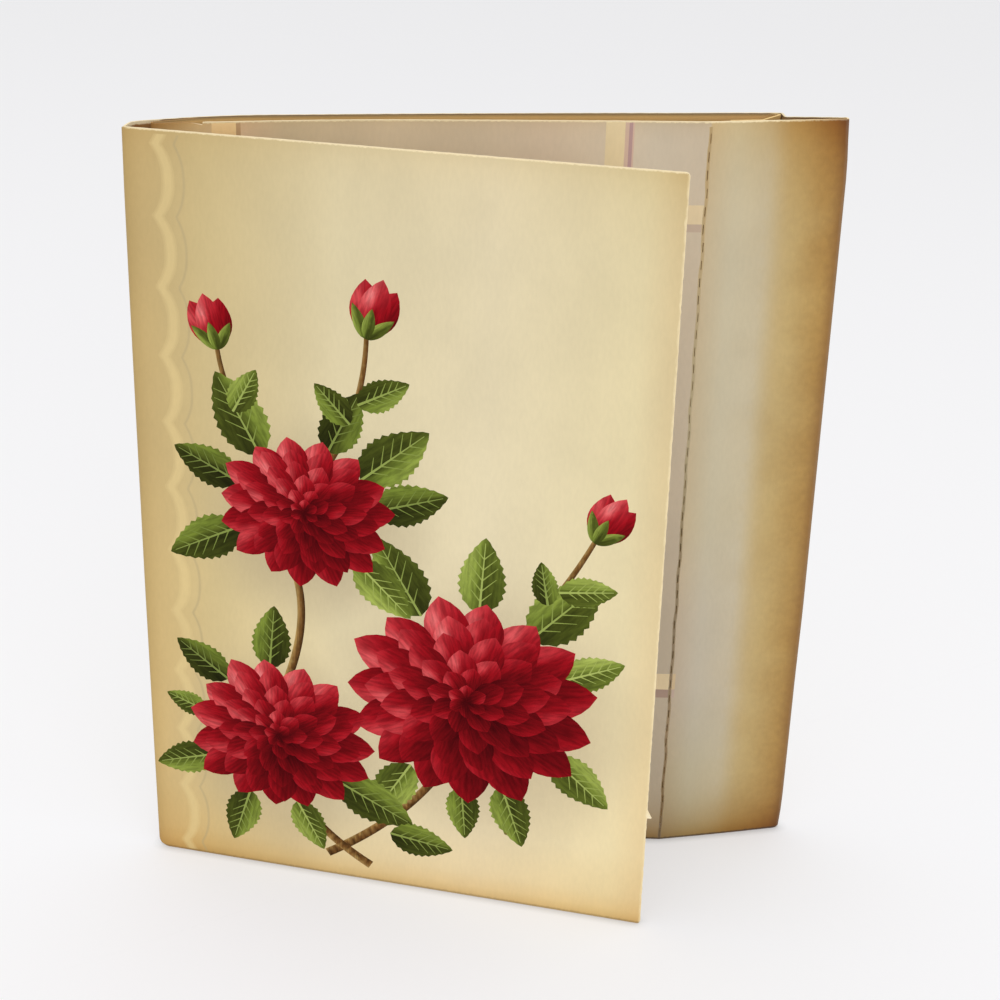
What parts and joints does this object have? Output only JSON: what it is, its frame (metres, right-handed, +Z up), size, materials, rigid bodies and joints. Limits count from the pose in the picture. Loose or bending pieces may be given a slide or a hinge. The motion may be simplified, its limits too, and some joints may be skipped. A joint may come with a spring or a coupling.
{
  "type": "greeting card",
  "caption": "Folded paper greeting card that stands a little open: a printed front cover, a bowed double back with a perforated margin strip, and worn fold corners.",
  "frame": {"origin": "middle of the footprint's box, on the surface that the card stands on", "axes": "+Z up, the front cover faces -Y and its free edge points to +X, with the spine at -X"},
  "size_m": [0.1244, 0.042, 0.1524],
  "materials": {
    "card_stock": "matt printed card, toned with age"
  },
  "bodies": {
    "root": {"folded_card": "card_stock"}
  },
  "joints": []
}
